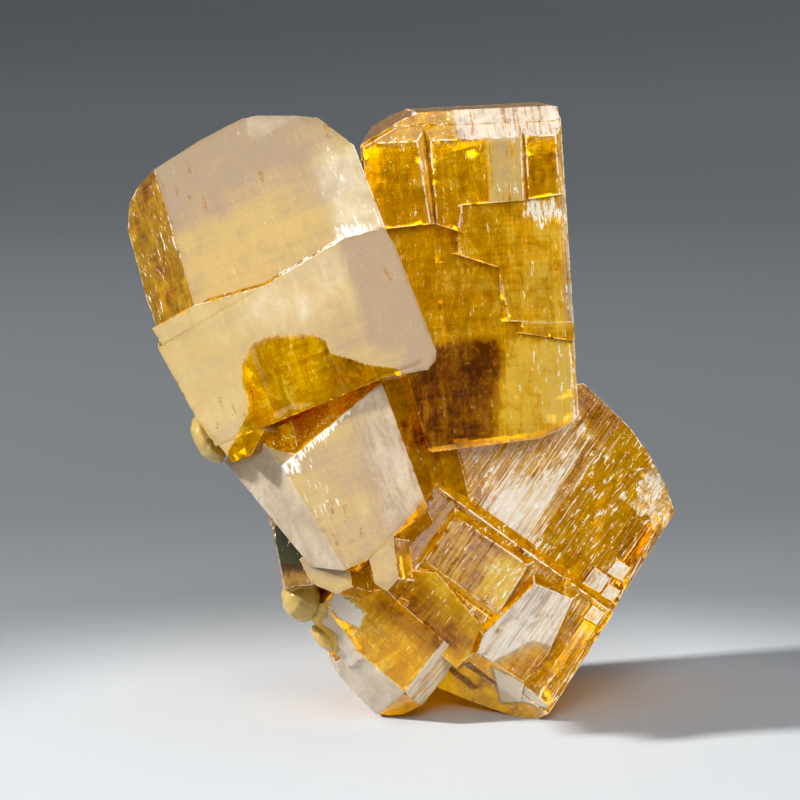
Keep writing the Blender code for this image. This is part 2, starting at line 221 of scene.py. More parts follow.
def fineNet(bm):
    rng = np.random.default_rng(net["seed"])
    points = [np.array(v.co) for v in bm.verts]
    normals = [np.array(f.normal) for f in bm.faces]
    centres = [np.array(f.calc_center_median()) for f in bm.faces]
    owners = [ownerOf(c, n) for c, n in zip(centres, normals)]
    spacing = []
    for owner, normal in zip(owners, normals):
        if normal[1] < -0.25 or (normal[1] < -0.05 and normal[2] > 0.5):
            striated = names[owner] == "lowerRight" and normal[1] < -0.6
            spacing.append(net["striated"] if striated else net["front"])
        else:
            spacing.append(net["side"] if normal[1] < 0.55 else net["back"])
    steps, bend = {}, {}
    for edge in bm.edges:
        gap = min(spacing[f.index] for f in edge.link_faces)
        a, b = edge.verts[0].index, edge.verts[1].index
        count = max(1, int(math.ceil(edge.calc_length() / gap)))
        row = [a]
        for k in range(1, count):
            row.append(len(points))
            points.append(points[a] + (points[b] - points[a]) * k / count)
        row.append(b)
        steps[edge.index] = row
        thin = min(f.calc_area() for f in edge.link_faces) < 0.1 * edge.calc_length()
        bend[edge.index] = 0.0 if thin else edge.calc_face_angle_signed(0.0)
    triangles, faceOf, rims, seams = [], [], [], []
    for face in bm.faces:
        normal, gap = normals[face.index], spacing[face.index]
        across = np.cross(normal, (0.0, 0.0, 1.0) if abs(normal[2]) < 0.9 else (1.0, 0.0, 0.0))
        across /= np.linalg.norm(across)
        up = np.cross(normal, across)
        loop, rows = [], []
        rim, seam = [], []
        for corner in face.loops:
            row = steps[corner.edge.index]
            row = row if row[0] == corner.vert.index else row[::-1]
            loop.extend(row[:-1])
            turn = bend[corner.edge.index]
            rows.extend([abs(turn) > 0.3] * (len(row) - 1))
            if turn > 0.3:
                rim.append((points[row[0]], points[row[-1]]))
            elif turn < -0.3:
                seam.append((points[row[0]], points[row[-1]]))
        rims.append(rim)
        seams.append(seam)
        origin = points[loop[0]]
        flat = np.array([[(points[i] - origin) @ across, (points[i] - origin) @ up] for i in loop])
        extra = []
        if face.calc_area() > 0.15:
            # a row of points just inside the edges, so that they can be rounded
            ahead = np.roll(flat, -1, axis=0) - flat
            length = np.hypot(*ahead.T)
            middle = (flat + np.roll(flat, -1, axis=0)) / 2.0
            inward = np.stack([-ahead[:, 1], ahead[:, 0]], 1) / np.maximum(length, 1e-9)[:, None]
            row = (middle + inward * net["edgeRow"])[np.array(rows) & (length > 0.08)]
            if len(row):
                row = row[insideDepth(row, flat) > net["edgeRow"] * 0.9]
            low, high = flat.min(0), flat.max(0)
            xs = np.arange(low[0], high[0], gap)
            ys = np.arange(low[1], high[1], gap * 0.866)
            grid = np.array([(x + gap / 2 * (j % 2), y) for j, y in enumerate(ys) for x in xs]).reshape(-1, 2)
            if len(grid):
                grid = grid + rng.uniform(-1, 1, grid.shape) * gap * net["jitter"]
                grid = grid[insideDepth(grid, flat) > net["edgeRow"] + 0.45 * gap]
            found = [row.reshape(-1, 2)]
            for ends in nicksOn(names[owners[face.index]], centres[face.index], normal):
                a, b = [np.array([(p - origin) @ across, (p - origin) @ up]) for p in ends]
                if len(grid):
                    grid = grid[gapTo(grid, a, b) > 0.3]
                side = np.array([a[1] - b[1], b[0] - a[0]]) / np.linalg.norm(b - a)
                along = np.linspace(0.0, 1.0, max(4, int(np.linalg.norm(b - a) / 0.16)))[:, None]
                wobble = rng.uniform(-0.05, 0.05, along.shape)
                middle = a + (b - a) * along + side * wobble
                cracks = np.concatenate([middle, middle + side * 0.15, middle - side * 0.15])
                found.append(cracks[insideDepth(cracks, flat) > 0.2])
            extra = np.concatenate([*found, grid.reshape(-1, 2)])
        every = [Vector(p) for p in flat] + [Vector(p) for p in extra]
        made = delaunay_2d_cdt(every, [], [list(range(len(loop)))], 1, 1e-6)
        known = {}
        for new, old in enumerate(made[3]):
            inner = [i for i in old if i < len(loop)]
            if inner:
                known[new] = loop[inner[0]]
            else:
                known[new] = len(points)
                points.append(origin + across * made[0][new][0] + up * made[0][new][1])
        for tri in made[2]:
            ids = [known[i] for i in tri]
            if len(set(ids)) < 3:
                continue
            turn = np.cross(points[ids[1]] - points[ids[0]], points[ids[2]] - points[ids[0]]) @ normal
            triangles.append(ids if turn > 0 else ids[::-1])
            faceOf.append(face.index)
    return {"points": np.array(points), "triangles": np.array(triangles), "faceOf": np.array(faceOf),
            "normals": np.array(normals), "owners": np.array(owners), "rims": rims, "seams": seams}


bm = facetsOf(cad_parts["barite_cluster"])
made = fineNet(bm)
bm.free()
flatPoints, triangles, faceOf = made["points"], made["triangles"], made["faceOf"]
ownerOfTriangle = made["owners"][faceOf]
print("net:", len(flatPoints), "points,", len(triangles), "triangles")

# For every corner: its own crystal's coordinates, and how far the nearest outer and inner edge is
cornerSpace = np.zeros((len(triangles), 3, 3))
for index, name in enumerate(names):
    mine = ownerOfTriangle == index
    cornerSpace[mine] = toCrystal(name, flatPoints[triangles[mine]].reshape(-1, 3)).reshape(-1, 3, 3)
cornerNormal = np.einsum("ij,ijk->ik", made["normals"][faceOf],
                         np.array([crystals[n]["axes"] for n in names])[ownerOfTriangle])
rimGap = np.full((len(triangles), 3), net["farGap"])
seamGap = np.full((len(triangles), 3), net["farGap"])
order = np.argsort(faceOf, kind="stable")
starts = np.searchsorted(faceOf[order], np.arange(len(made["normals"]) + 1))
for face in range(len(made["normals"])):
    mine = order[starts[face]:starts[face + 1]]
    if not len(mine):
        continue
    at = flatPoints[triangles[mine]].reshape(-1, 3)
    for gaps, lines in ((rimGap, made["rims"][face]), (seamGap, made["seams"][face])):
        for a, b in lines:
            gaps[mine] = np.minimum(gaps[mine], gapTo(at, a, b).reshape(-1, 3))
pointRim = np.full(len(flatPoints), net["farGap"])
np.minimum.at(pointRim, triangles.reshape(-1), rimGap.reshape(-1))
pointNormal = np.zeros((len(flatPoints), 3))
for k in range(3):
    np.add.at(pointNormal, triangles[:, k], made["normals"][faceOf])
pointNormal /= np.maximum(np.linalg.norm(pointNormal, axis=1), 1e-9)[:, None]
pointOwners = np.zeros((len(flatPoints), len(names)), bool)
for k in range(3):
    pointOwners[triangles[:, k], ownerOfTriangle] = True

relief = {
    "rounding": 0.045,       # mm taken off the outer edges
    "nickSize": 0.2,         # mm, deepest nick in an outer edge
    "wave": 0.012,           # mm, slow waves of the flat faces
    "crackDepth": 0.015,
    "crackLength": 0.8,
    "patch": [(-9.8, -9.0), (-8.8, -6.3), (-7.0, -4.7), (-4.7, -4.5), (0.7, -6.3), (2.0, -7.7), (1.9, -9.3),
              (3.7, -10.5), (6.3, -12.6), (9.2, -14.0), (15.0, -40.0), (-40.0, -40.0), (-11.8, -13.9),
              (-10.5, -12.8), (-9.6, -11.1)],      # the amber patch on the upper left crystal
    "patchTilt": 4.5,        # degrees
    "fold": [(-5.7, -3.2), (-5.8, 4.8), (-5.4, 14.5)],      # where the slanting crystal's front bends back
    "foldTilt": 4.0,
    "striation": 0.03,       # mm
}

# Places with a surface of their own: centre and radius in millimetres, and how uneven they are
paleFinish = {"glow": 0.95, "milkAndGlare": 0.75, "frost": 0.1, "fleck": 0.3, "grain": 0.0}
lumps = {
    "paleHigh": {"centre": (-25.0, -14.45, 39.3), "radius": 4.2, "rough": 0.14, "ragged": 0.15,
                 "finish": paleFinish},
    "paleLow": {"centre": (-13.6, -7.45, 17.1), "radius": 3.9, "rough": 0.14, "ragged": 0.15,
                "finish": paleFinish},
    "paleLast": {"centre": (-10.9, -6.05, 11.5), "radius": 2.6, "rough": 0.08, "ragged": 0.15,
                 "finish": paleFinish},
    "brokenCorner": {"centre": (33.9, -0.4, 29.2), "radius": 4.0, "rough": 0.34, "ragged": 0.6,
                     "finish": {"glow": 0.7, "milkAndGlare": 0.5, "frost": 0.8, "fleck": 1.5, "grain": 0.0}},
}


def raised(points):
    moved = points.copy()
    slow = speckle(points, 0.2, 3.0)
    fine = speckle(points, 1.1, 11.0)
    sharpNick = smooth(0.3, 0.6, speckle(points, 1.3, 23.0)) * relief["nickSize"]
    near = pointRim
    inward = relief["rounding"] * (0.75 + 0.6 * fine) * (1.0 - smooth(0.0, 0.2, near))
    inward += sharpNick * (1.0 - smooth(0.0, 0.45, near))
    inward += relief["wave"] * slow * 2.0
    moved -= pointNormal * inward[:, None]

    # the amber patch of the upper left crystal lies a little deeper towards the bottom
    local = toCrystal("upperLeft", points)
    top = np.array(relief["patch"][:10])
    topLine = np.interp(local[:, 0], top[:, 0], top[:, 1])
    depth = np.maximum(insideDepth(local[:, :2], relief["patch"]), 0.0)
    down = np.minimum(np.clip(topLine - local[:, 1], 0.0, 9.0), 3.0 * depth)
    drop = math.tan(math.radians(relief["patchTilt"])) * down
    drop *= smooth(-3.0, -0.1, local[:, 2]) * pointOwners[:, names.index("upperLeft")]
    moved -= drop[:, None] * crystals["upperLeft"]["axes"][:, 2]

    # cracks and nicks
    for name, lines in nicks.items():
        local = toCrystal(name, points)
        facing = (pointNormal @ crystals[name]["axes"][:, 2] > 0.99) & pointOwners[:, names.index(name)]
        for x, y, x2, y2, z in lines:
            x2, y2 = x + (x2 - x) * relief["crackLength"], y + (y2 - y) * relief["crackLength"]
            gap = gapTo(local[:, :2], (x, y), (x2, y2))
            depth = relief["crackDepth"] * (1.0 - smooth(0.1, 0.5, gap))
            depth *= (np.abs(local[:, 2] - z) < 0.2) * facing
            moved -= depth[:, None] * crystals[name]["axes"][:, 2]

    # the slanting crystal: its front bends back at the right, and is striated
    local = toCrystal("lowerRight", points)
    fold = np.array(relief["fold"])
    side = local[:, 0] - np.interp(local[:, 1], fold[:, 1], fold[:, 0])
    own = pointOwners[:, names.index("lowerRight")]
    drop = math.tan(math.radians(relief["foldTilt"])) * np.clip(side, 0.0, 16.0)
    drop *= smooth(-5.0, -0.1, local[:, 2]) * (local[:, 2] < 0.8) * smooth(-3.2, -2.7, local[:, 1]) * own
    facing = (pointNormal @ crystals["lowerRight"]["axes"][:, 2] > 0.97) & own
    ridges = speckle(local, (1.5, 0.07, 0.3), 31.0) + 0.6 * speckle(local, (0.55, 0.03, 0.3), 37.0)
    drop += relief["striation"] * (1.0 + ridges) * facing * smooth(0.1, 0.5, pointRim)
    moved -= drop[:, None] * crystals["lowerRight"]["axes"][:, 2]

    for lump in lumps.values():
        inside = 1.0 - smooth(0.8, 1.05, np.linalg.norm(points - lump["centre"], axis=1) / lump["radius"])
        bumpy = speckle(points, 0.9, 41.0) + 0.5 * speckle(points, 2.1, 43.0)
        moved -= pointNormal * (inside * lump["rough"] * (bumpy + 0.4))[:, None]
    return moved


points = raised(flatPoints)
points[:, 2] = np.where(flatPoints[:, 2] < 1e-4, flatPoints[:, 2], np.maximum(points[:, 2], 0.02))
low, high = np.array(cadBox[0]) / mm, np.array(cadBox[1]) / mm
points = np.clip(points, low, high)
print("edges worn, patch and striations raised")


# Finishes: each crystal's faces, from the whole crystal to single zones. glow runs from dark brown (0)
# to bright yellow (1), milk is the cream layer, partly a milky film and partly painted reflection of the
# soft panels with its whitest parts as painted glare, frost is roughness, fleck is white flecks, grain is
# growth lines. A later rule lies over the ones before it.
finishes = {
    "upperLeft": [
        {"glow": 0.5, "milkAndGlare": 0.84, "frost": 0.1, "fleck": 0.1, "grain": 0.4},
        {"facing": "below", "within": 0.3, "glow": 0.5, "milkAndGlare": 0.0, "fleck": 0.2},
        # painted reflection: the cream on this front is partly a milky film and partly the front panel's
        # glare
        {"facing": "front", "glow": 0.5, "milkAndGlare": 0.85, "frost": 0.04, "fleck": 0.1, "grain": 0.3},
        {"facing": "front", "level": -1.1, "soft": 3.0, "glow": 0.05, "milkAndGlare": 0.85,
         "zone": [(-18.0, 11.0), (-8.0, 13.5), (2.0, 15.5), (9.0, 13.0), (12.0, 22.0), (0.0, 26.0),
                  (-18.0, 24.0)]},
        {"facing": "front", "level": -1.1, "soft": 2.0, "glow": 0.7, "milkAndGlare": 0.8,
         "zone": [(-11.0, 11.5), (0.0, 12.8), (6.5, 10.0), (6.5, 4.0), (-3.8, 2.0), (-11.0, -1.0)]},
        {"facing": "front", "level": -1.1, "soft": 0.25, "glow": 0.3, "milkAndGlare": 0.885,
         "zone": [(1.9, 23.7), (8.6, 20.3), (3.0, 19.5), (1.4, 19.6)]},
        {"facing": "front", "level": -1.1, "soft": 2.2, "glow": 0.65, "milkAndGlare": 0.9, "fleck": 0.5,
         "frost": 0.08,
         "zone": [(9.0, 16.5), (14.5, 14.5), (14.8, 2.6), (8.1, 3.2), (7.3, 10.4)]},
        {"facing": "front", "level": -1.1, "soft": 0.5, "milkAndGlare": 0.91, "fleck": 1.7, "frost": 0.2,
         "zone": [(7.6, 5.4), (13.4, 4.2), (13.4, 2.6), (7.2, 3.0)]},
        {"facing": "front", "level": 0.0, "soft": 4.0, "glow": 0.9, "milkAndGlare": 0.893,
         "zone": [(-9.0, 0.0), (-2.0, 3.5), (7.4, 4.5), (7.5, -4.5), (1.0, -5.5), (-9.0, -3.5)]},
        {"facing": "front", "level": 0.0, "soft": 1.3, "glow": 0.05, "milkAndGlare": 0.85,
         "zone": [(8.2, 5.0), (16.0, 5.0), (16.0, -16.0), (7.0, -16.0), (7.6, -6.0)]},
        {"facing": "front", "level": 0.0, "soft": 0.4, "glow": 0.75, "milkAndGlare": 0.865,
         "zone": [(-20.0, 3.0), (-9.6, 3.0), (-8.4, -6.0), (-9.0, -18.0), (-20.0, -18.0)]},
        {"facing": "front", "level": 0.0, "outsideOnly": relief["patch"]},
        {"facing": "front", "level": 0.0, "soft": 0.3, "glow": 0.72, "fleck": 0.15, "zone": relief["patch"]},
        {"facing": "front", "level": 0.0, "soft": 2.0, "glow": 0.5,
         "zone": [(1.5, -8.0), (10.0, -12.0), (10.0, -18.0), (-6.0, -18.0), (-1.0, -13.5)]},
        {"facing": "step", "glow": 0.6, "milkAndGlare": 0.0, "frost": 0.1, "fleck": 0.6, "grain": 0.3},
        {"facing": "step", "soft": 1.5, "fleck": 1.8,
         "zone": [(-1.0, 9.0), (6.0, 9.0), (6.0, -4.0), (-1.0, -4.0)]},
        {"facing": "step", "soft": 1.0, "fleck": 2.2,
         "zone": [(6.0, 9.0), (12.5, 9.0), (12.5, -4.0), (6.0, -4.0)]},
        {"facing": "leftBevel", "glow": 0.5, "milkAndGlare": 0.0, "frost": 0.02, "fleck": 0.75, "grain": 0.5},
        {"facing": "leftBevel", "soft": 1.5, "glow": 0.55, "fleck": 0.5,
         "zone": [(-19.0, 22.0), (-10.0, 22.0), (-10.0, 14.0), (-19.0, 12.0)]},
        {"facing": "leftBevel", "soft": 1.0, "glow": 0.62, "fleck": 0.1,
         "zone": [(-16.8, 7.5), (-10.0, 10.0), (-10.0, -4.0), (-17.5, -4.0)]},
    ],
    "little": [
        {"glow": 0.4, "milkAndGlare": 0.1, "frost": 0.1, "fleck": 0.4, "grain": 0.6},
        # painted reflection: the cream on this front is partly a milky film and partly the front panel's
        # glare
        {"facing": "front", "glow": 0.5, "milkAndGlare": 0.86, "frost": 0.04, "fleck": 0.15, "grain": 0.4},
        {"facing": "front", "soft": 2.0, "glow": 0.3, "milkAndGlare": 0.892, "grain": 0.6,
         "zone": [(3.5, 12.0), (9.0, 12.0), (9.0, -5.0), (2.5, -7.0)]},
        {"facing": "front", "soft": 1.5, "fleck": 0.9,
         "zone": [(-6.5, 6.0), (-3.5, 6.0), (-1.5, -1.0), (-4.0, -2.0)]},
        {"facing": "front", "soft": 0.4, "fleck": 2.0,
         "zone": [(-7.5, 6.4), (3.5, 10.2), (3.5, 9.0), (-5.0, 5.6), (-5.2, 4.4), (-7.0, 4.4)]},
        {"facing": "cut", "glow": 0.7, "milkAndGlare": 0.0, "fleck": 0.5},
        {"facing": "roof", "glow": 0.85, "milkAndGlare": 0.0, "frost": 0.1, "fleck": 0.8, "grain": 0.5},
        {"facing": "roof", "soft": 2.0, "glow": 0.6,
         "zone": [(-14.0, 14.0), (-6.5, 14.0), (-6.5, 4.0), (-14.0, 4.0)]},
        # painted reflection: the cream on the left face stands partly for the left panel's glare
        {"facing": "leftFace", "glow": 0.2, "milkAndGlare": 0.9, "frost": 0.04, "fleck": 0.1, "grain": 0.3},
    ],
    "upperRight": [
        {"glow": 0.6, "milkAndGlare": 0.05, "frost": 0.15, "fleck": 0.5, "grain": 0.5},
        # painted shade: the faces turned down are given a dark brown tone
        {"facing": "below", "within": 0.3, "glow": 0.05, "milkAndGlare": 0.3},
        {"facing": "front", "glow": 0.68, "milkAndGlare": 0.0, "frost": 0.0, "fleck": 0.42, "grain": 0.6},
        {"facing": "front", "level": -1.6, "glow": 0.72, "fleck": 0.3},
        {"facing": "front", "level": -1.6, "soft": 0.7, "glow": 0.2, "fleck": 0.2,
         "zone": [(-13.8, -8.6), (-7.3, -6.7), (-2.9, -6.3), (0.6, -6.6), (1.6, -9.0), (0.4, -13.2),
                  (-1.1, -22.6), (-12.8, -22.0)]},
        {"facing": "front", "level": -1.6, "soft": 0.9, "glow": 1.05, "milkAndGlare": 0.5, "fleck": 0.7,
         "grain": 0.85,
         "zone": [(5.1, -7.6), (12.5, -6.8), (12.5, -18.9), (5.6, -18.1)]},
        {"facing": "front", "level": -1.6, "soft": 1.6, "glow": 1.0, "milkAndGlare": 0.15,
         "zone": [(2.4, -7.0), (6.0, -6.5), (6.0, -20.5), (1.0, -18.0), (0.4, -13.0)]},
        {"facing": "front", "level": -1.6, "soft": 0.5, "glow": 0.35, "milkAndGlare": 0.4,
         "zone": [(-14.0, -19.6), (-8.0, -19.9), (5.0, -19.3), (9.0, -18.0), (12.0, -15.5),
                  (12.0, -24.0), (-14.0, -24.0)]},
        {"facing": "front", "level": -0.82, "glow": 0.78, "fleck": 0.3},
        {"facing": "front", "level": -0.82, "soft": 1.5, "glow": 0.86, "milkAndGlare": 0.1,
         "zone": [(2.6, 9.5), (9.6, 7.7), (9.7, -6.0), (2.4, -4.1)]},
        {"facing": "front", "level": -0.82, "soft": 1.0, "glow": 0.9, "frost": 0.2, "fleck": 2.0,
         "zone": [(5.0, 11.2), (9.8, 11.1), (9.9, 8.0), (7.0, 7.9), (4.9, 9.3)]},
        {"facing": "front", "level": -0.04, "soft": 0.3, "glow": 0.75, "milkAndGlare": 0.85, "grain": 0.92,
         "zone": [(0.6, 20.5), (5.3, 20.5), (5.2, 11.0), (0.6, 11.0)]},
        {"facing": "front", "soft": 0.3, "glow": 0.6, "milkAndGlare": 0.888, "fleck": 0.8, "grain": 0.95,
         "zone": [(9.7, 19.0), (10.8, 19.0), (10.8, -5.0), (9.5, -5.0)]},
        {"facing": "topBevel", "glow": 0.7, "milkAndGlare": 0.0, "frost": 0.0, "fleck": 0.55, "grain": 0.6},
        # painted reflection: the white on this part of the top bevel stands partly for the top panel's glare
        {"facing": "topBevel", "soft": 0.15, "glow": 0.4, "milkAndGlare": 0.912, "frost": 0.05, "fleck": 0.3,
         "grain": 0.85,
         "zone": [(-3.3, 17.0), (12.0, 17.0), (12.0, 25.0), (-3.3, 25.0)]},
        {"facing": "rightBevel", "glow": 0.6, "milkAndGlare": 0.5, "frost": 0.1, "fleck": 0.8, "grain": 0.9},
    ],
    "lowerRight": [
        {"glow": 0.6, "milkAndGlare": 0.05, "frost": 0.12, "fleck": 0.5, "grain": 0.6},
        # painted reflection: the cream and white on this striated front stand for the right panel's glare,
        # broken into streaks
        {"facing": "front", "glow": 0.66, "milkAndGlare": 0.935, "frost": 0.0, "fleck": 0.85, "grain": 1.0},
        {"facing": "front", "level": 0.0, "insideOnly": [
            (-17.5, -1.8), (-15.9, 1.5), (-14.9, 4.6), (-11.9, 8.6), (-10.8, 12.0), (-9.3, 16.6),
            (-5.4, 15.5), (-5.8, 4.8), (-5.7, -3.5), (-14.7, -3.2)]},
        {"facing": "front", "level": 0.0, "soft": 2.0, "grain": 0.72,
         "zone": [(-14.5, -3.0), (-12.5, 2.0), (-8.0, 6.5), (-5.5, 6.0), (-5.5, -3.5)]},
        {"facing": "front", "level": 0.0, "soft": 0.8, "glow": 0.4, "milkAndGlare": 0.05, "fleck": 0.3,
         "zone": [(-12.5, 20.4), (-4.5, 19.0), (-6.3, 14.8), (-12.1, 17.2)]},
        {"facing": "front", "level": 1.1, "glow": 0.55, "milkAndGlare": 0.08, "fleck": 0.7},
        {"facing": "front", "level": 1.1, "soft": 1.0, "glow": 0.35, "milkAndGlare": 0.0, "fleck": 0.3, "grain": 0.4,
         "zone": [(-23.0, 0.0), (-15.0, 0.0), (-16.0, -7.0), (-18.0, -12.0), (-23.0, -10.0)]},
        {"facing": "front", "level": 0.0, "soft": 1.0, "glow": 0.2, "milkAndGlare": 0.25,
         "zone": [(5.2, 12.0), (4.8, 3.5), (6.5, -1.5), (9.5, -1.5), (9.5, 12.0), (6.5, 14.0)]},
        {"facing": "front", "level": 1.1, "soft": 0.3, "glow": 0.8, "milkAndGlare": 0.918, "frost": 0.2, "fleck": 1.4,
         "zone": [(-8.0, -14.6), (-2.9, -14.0), (-3.4, -16.6), (-7.6, -16.8)]},
        {"facing": "front", "level": 1.9, "glow": 0.5, "milkAndGlare": 0.45, "fleck": 0.4, "grain": 1.0},
        {"facing": "front", "level": 1.9, "soft": 1.2, "glow": 1.0, "milkAndGlare": 0.4, "frost": 0.2, "fleck": 1.0,
         "zone": [(-9.6, -6.2), (-4.0, -3.5), (-4.0, -11.0), (-8.3, -10.7)]},
        {"facing": "front", "level": 2.3, "glow": 0.3, "milkAndGlare": 0.935, "frost": 0.03, "fleck": 0.25,
         "grain": 0.74},
        {"facing": "front", "level": 2.3, "soft": 1.0, "glow": 0.4, "milkAndGlare": 0.1,
         "zone": [(1.6, -12.5), (5.0, -11.5), (5.0, -18.5), (-1.5, -18.5)]},
        # painted reflection: the cream and white wedge on this bevel stands partly for glare
        {"facing": "bottomBevel", "glow": 0.1, "milkAndGlare": 0.6, "fleck": 0.7, "frost": 0.1, "grain": 0.5},
        {"facing": "bottomBevel", "soft": 0.25, "glow": 0.4, "milkAndGlare": 0.98, "frost": 0.05, "fleck": 0.2,
         "grain": 0.4,
         "zone": [(-1.4, -17.7), (2.1, -17.2), (5.1, -17.0), (8.6, -17.9), (5.3, -19.2), (3.2, -21.0)]},
        {"facing": "rim", "glow": 0.35, "milkAndGlare": 0.35, "fleck": 0.6},
        {"facing": "ridge", "glow": 0.55, "milkAndGlare": 0.0, "fleck": 0.6, "grain": 0.4},
        {"facing": "front", "level": 0.55, "glow": 0.7, "milkAndGlare": 0.94, "frost": 0.2, "fleck": 0.9,
         "grain": 0.88},
        {"facing": "front", "level": 1.6, "glow": 0.7, "milkAndGlare": 0.94, "frost": 0.2, "fleck": 0.9,
         "grain": 0.88},
    ],
    "tip": [
        {"glow": 0.5, "milkAndGlare": 0.15, "frost": 0.15, "fleck": 0.4, "grain": 0.5},
        {"facing": "front", "glow": 0.85, "milkAndGlare": 0.0, "frost": 0.02, "fleck": 0.3, "grain": 0.4},
        {"facing": "front", "soft": 1.5, "glow": 0.45,
         "zone": [(-6.3, 2.6), (5.1, 3.2), (9.0, 7.4), (-4.1, 9.8)]},
        {"facing": "front", "soft": 0.1, "glow": 0.9, "milkAndGlare": 0.99, "frost": 0.1, "fleck": 1.6,
         "zone": [(-10.6, -0.6), (-10.5, 1.6), (-5.7, 1.8), (-4.9, -0.3), (-8.3, -1.3)]},
        # painted reflection: the cream on these bevels stands partly for glare
        {"facing": "leftBevel", "glow": 0.2, "milkAndGlare": 0.928, "frost": 0.1, "fleck": 0.15, "grain": 0.3},
        {"facing": "rightBevel", "glow": 0.5, "milkAndGlare": 0.93, "frost": 0.05, "fleck": 0.3, "grain": 0.85},
        {"facing": "tipFace", "glow": 0.0, "milkAndGlare": 0.25, "frost": 0.1, "fleck": 0.2},
    ],
    "ground": [
        {"glow": 0.5, "milkAndGlare": 0.0, "frost": 0.05, "fleck": 0.4, "grain": 0.5},
    ],
    "darkBit": [
        {"glow": -0.4, "milkAndGlare": 0.0, "frost": 0.05, "fleck": 0.35, "grain": 0.4},
        {"facing": "front", "soft": 1.6, "glow": 0.5, "milkAndGlare": 0.5,
         "zone": [(-4.0, -1.0), (5.0, -1.0), (5.0, 3.2), (-4.0, 3.2)]},
    ],
}
backFinish = [{"glow": 0.55, "milkAndGlare": 0.15, "frost": 0.2, "fleck": 0.6, "grain": 0.7}]


def finishValues():
    count = len(triangles)
    values = {key: np.zeros((count, 3)) for key in ("glow", "milkAndGlare", "frost", "fleck", "grain")}
    milkAndGlareEdge = np.full((count, 3), net["milkAndGlareReach"])
    for index, name in enumerate(names):
        own = ownerOfTriangle == index
        for rule in finishes.get(name, backFinish):
            chosen = own.copy()
            if "facing" in rule:
                way = np.array(crystals[name]["slopes"][rule["facing"]])
                chosen &= cornerNormal @ way > rule.get("within", 0.95)
            if "level" in rule:
                chosen &= np.abs(cornerSpace[:, :, 2].mean(1) - rule["level"]) < net["levelReach"]
            if not chosen.any():
                print("a finish finds no face:", name, rule.get("facing"), rule.get("level"))
                continue
            flat = cornerSpace[chosen][:, :, :2].reshape(-1, 2)
            share = np.ones((chosen.sum(), 3))
            if "zone" in rule:
                depth = insideDepth(flat, rule["zone"])
                share = smooth(-rule["soft"], rule["soft"], depth).reshape(-1, 3)
            for key in values:
                if key in rule:
                    values[key][chosen] += (rule[key] - values[key][chosen]) * share
            for key, sign in (("insideOnly", 1.0), ("outsideOnly", -1.0)):
                if key in rule:
                    depth = sign * insideDepth(flat, rule[key]).reshape(-1, 3)
                    milkAndGlareEdge[chosen] = np.minimum(milkAndGlareEdge[chosen], depth)
    values["milkAndGlareEdge"] = np.clip(milkAndGlareEdge, -net["milkAndGlareReach"], net["milkAndGlareReach"])
    values["rimGap"] = rimGap.copy()
    values["seamGap"] = seamGap.copy()
    corners = flatPoints[triangles].reshape(-1, 3)
    for lump in lumps.values():
        reach = np.linalg.norm(corners - lump["centre"], axis=1) / lump["radius"]
        near = reach < 1.5
        reach[near] += lump["ragged"] * speckle(corners[near], 0.8, 53.0)
        inside = (1.0 - smooth(0.9, 1.08, reach)).reshape(-1, 3)
        plain = {**lump["finish"], "milkAndGlareEdge": net["milkAndGlareReach"],
                 "rimGap": net["farGap"], "seamGap": net["farGap"]}
        for key in values:
            values[key] += (plain[key] - values[key]) * inside
    crack = np.zeros((count, 3))
    for name, lines in nicks.items():
        own = (ownerOfTriangle == names.index(name)) & (cornerNormal[:, 2] > 0.99)
        flat = cornerSpace[own][:, :, :2].reshape(-1, 2)
        height = cornerSpace[own][:, :, 2].reshape(-1)
        for x, y, x2, y2, z in lines:
            x2, y2 = x + (x2 - x) * relief["crackLength"], y + (y2 - y) * relief["crackLength"]
            line = (1.0 - smooth(0.1, 0.8, gapTo(flat, (x, y), (x2, y2)))) * (np.abs(height - z) < 0.2)
            crack[own] = np.maximum(crack[own], line.reshape(-1, 3))
    values["crack"] = crack
    return values


def makeCluster():
    mesh = bpy.data.meshes.new("crystalCluster")
    mesh.from_pydata((points * mm).tolist(), [], triangles.tolist())
    cluster = bpy.data.objects.new("crystalCluster", mesh)
    bpy.context.collection.objects.link(cluster)
    mesh.shade_smooth()
    mesh.set_sharp_from_angle(angle=math.radians(net["sharpFrom"]))
    # the lumps are worn smooth
    worn = np.zeros(len(flatPoints), bool)
    for name, lump in lumps.items():
        if name.startswith("pale"):
            worn |= np.linalg.norm(flatPoints - lump["centre"], axis=1) < lump["radius"] * 1.02
    ends = np.zeros(2 * len(mesh.edges), int)
    mesh.edges.foreach_get("vertices", ends)
    sharp = np.zeros(len(mesh.edges), bool)
    mesh.attributes["sharp_edge"].data.foreach_get("value", sharp)
    sharp &= ~worn[ends.reshape(-1, 2)].all(axis=1)
    mesh.attributes["sharp_edge"].data.foreach_set("value", sharp)
    space = mesh.attributes.new("crystalSpace", "FLOAT_VECTOR", "CORNER")
    space.data.foreach_set("vector", cornerSpace.astype(np.float32).reshape(-1))
    for key, value in finishValues().items():
        layer = mesh.attributes.new(key, "FLOAT", "CORNER")
        layer.data.foreach_set("value", value.astype(np.float32).reshape(-1))
    return cluster


cluster = makeCluster()
print("cluster built")

